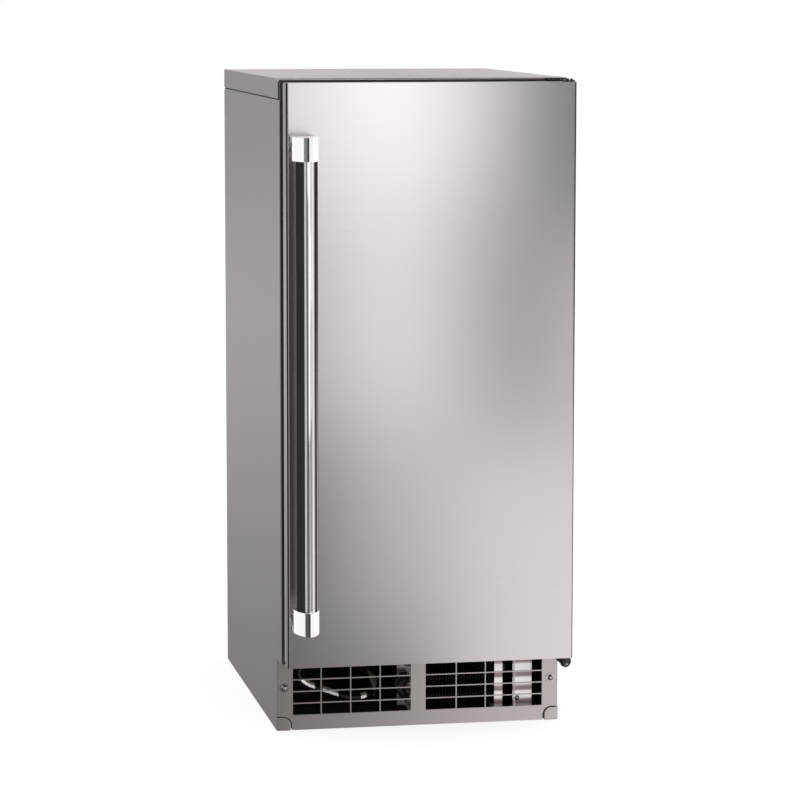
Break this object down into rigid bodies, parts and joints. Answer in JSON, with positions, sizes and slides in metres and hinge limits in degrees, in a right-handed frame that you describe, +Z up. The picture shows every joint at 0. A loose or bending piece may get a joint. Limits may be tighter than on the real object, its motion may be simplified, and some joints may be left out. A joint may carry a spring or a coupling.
{
  "type": "under-counter ice maker",
  "caption": "Under-counter ice maker: steel cabinet and hinged door with bar handle, insulated bin, spray freezing section, compressor cooling and a toe grille.",
  "frame": {"origin": "on the floor, at the centre of the bounding box's base", "axes": "+X to the right seen from the front, +Y to the back, +Z up; the door faces -Y"},
  "size_m": [0.378, 0.638, 0.852],
  "materials": {
    "cabinet_steel": "satin",
    "door_steel": "satin",
    "galvanised_steel": "satin",
    "aluminium_fins": "satin",
    "black_plastic": "matte",
    "grille_grey": "satin",
    "screw_steel": "satin",
    "foam": "matte",
    "white_plastic": "satin",
    "liner_grey": "satin",
    "bush_plastic": "matte",
    "scoop_plastic": "satin",
    "curtain_plastic": "gloss",
    "copper": "satin",
    "bright_tube": "satin",
    "tinned_copper": "satin",
    "motor_metal": "satin",
    "compressor_black": "gloss",
    "black_rubber": "satin",
    "gasket_rubber": "matte",
    "handle_steel": "polished",
    "bracket_chrome": "polished",
    "hinge_black": "satin",
    "foot_black": "matte"
  },
  "bodies": {
    "cabinet": {"left_side_panel": "cabinet_steel", "right_side_panel": "cabinet_steel", "rear_panel": "galvanised_steel", "top_cover": "cabinet_steel", "base_pan": "hinge_black", "front_frame": "black_plastic", "kickplate": "grille_grey", "kickplate_screws": "screw_steel", "kick_corner_caps": "grille_grey", "panel_screws": "screw_steel", "foam_insulation": "foam", "bin_liner": "white_plastic", "bin_drain_grate": "white_plastic", "scoop_holder": "white_plastic", "condenser_fins": "aluminium_fins", "condenser_coil": "compressor_black", "condenser_end_plates": "galvanised_steel", "condenser_bracket": "galvanised_steel", "fan_shroud": "black_plastic", "fan_motor": "motor_metal", "compressor": "compressor_black", "compressor_mounts": "black_rubber", "discharge_tube": "copper", "suction_tube": "copper", "filter_drier": "copper", "evaporator": "tinned_copper", "spray_bar": "white_plastic", "water_reservoir": "white_plastic", "water_pump": "white_plastic", "ice_chute": "white_plastic", "water_inlet_valve": "white_plastic", "water_tube": "white_plastic", "drain_hose": "bright_tube", "drain_fitting": "black_plastic", "cord_bushing": "black_plastic", "control_panel": "black_plastic", "bin_thermostat": "copper", "top_hinge_plate": "hinge_black", "bottom_hinge_bracket": "hinge_black", "hinge_pins": "screw_steel", "hinge_screws": "screw_steel"},
    "door": {"door_skin": "door_steel", "door_foam": "foam", "door_liner": "liner_grey", "door_gasket": "gasket_rubber", "handle_bar": "handle_steel", "handle_top_bracket": "bracket_chrome", "handle_bottom_bracket": "bracket_chrome", "handle_screws": "screw_steel", "hinge_bushes": "bush_plastic"},
    "fan": {"fan_blade": "black_plastic"},
    "impeller": {"pump_impeller": "white_plastic"},
    "curtain": {"chute_curtain": "curtain_plastic"},
    "power_key": {"power_button": "white_plastic"},
    "clean_key": {"clean_button": "white_plastic"},
    "scoop": {"ice_scoop": "scoop_plastic"},
    "leg_front_left": {"foot_front_left": "foot_black"},
    "leg_front_right": {"foot_front_right": "foot_black"},
    "leg_rear_left": {"foot_rear_left": "foot_black"},
    "leg_rear_right": {"foot_rear_right": "foot_black"}
  },
  "joints": [
    {"name": "door_hinge", "type": "hinge", "parent": "cabinet", "child": "door", "pos_m": [0.18, -0.244, 0.4], "axis": [0, 0, 1], "range_deg": [0, 110]},
    {"name": "fan_spin", "type": "hinge", "parent": "cabinet", "child": "fan", "pos_m": [0.051, -0.05, 0.067], "axis": [0, -1, 0], "continuous": true},
    {"name": "pump_spin", "type": "hinge", "parent": "cabinet", "child": "impeller", "pos_m": [0.115, 0.215, 0.61], "axis": [0, 0, 1], "continuous": true},
    {"name": "curtain_swing", "type": "hinge", "parent": "cabinet", "child": "curtain", "pos_m": [0, 0.066, 0.752], "axis": [-1, 0, 0], "range_deg": [0, 60]},
    {"name": "power_press", "type": "slide", "parent": "cabinet", "child": "power_key", "axis": [0, 1, 0], "range_m": [0, 0.0025], "stiffness_N_per_m": 400},
    {"name": "clean_press", "type": "slide", "parent": "cabinet", "child": "clean_key", "axis": [0, 1, 0], "range_m": [0, 0.0025], "stiffness_N_per_m": 400},
    {"name": "scoop_lift", "type": "slide", "parent": "cabinet", "child": "scoop", "axis": [0, 0, 1], "range_m": [0, 0.12]},
    {"name": "level_front_left", "type": "slide", "parent": "cabinet", "child": "leg_front_left", "axis": [0, 0, -1], "range_m": [0, 0.012]},
    {"name": "level_front_right", "type": "slide", "parent": "cabinet", "child": "leg_front_right", "axis": [0, 0, -1], "range_m": [0, 0.012]},
    {"name": "level_rear_left", "type": "slide", "parent": "cabinet", "child": "leg_rear_left", "axis": [0, 0, -1], "range_m": [0, 0.012]},
    {"name": "level_rear_right", "type": "slide", "parent": "cabinet", "child": "leg_rear_right", "axis": [0, 0, -1], "range_m": [0, 0.012]}
  ]
}
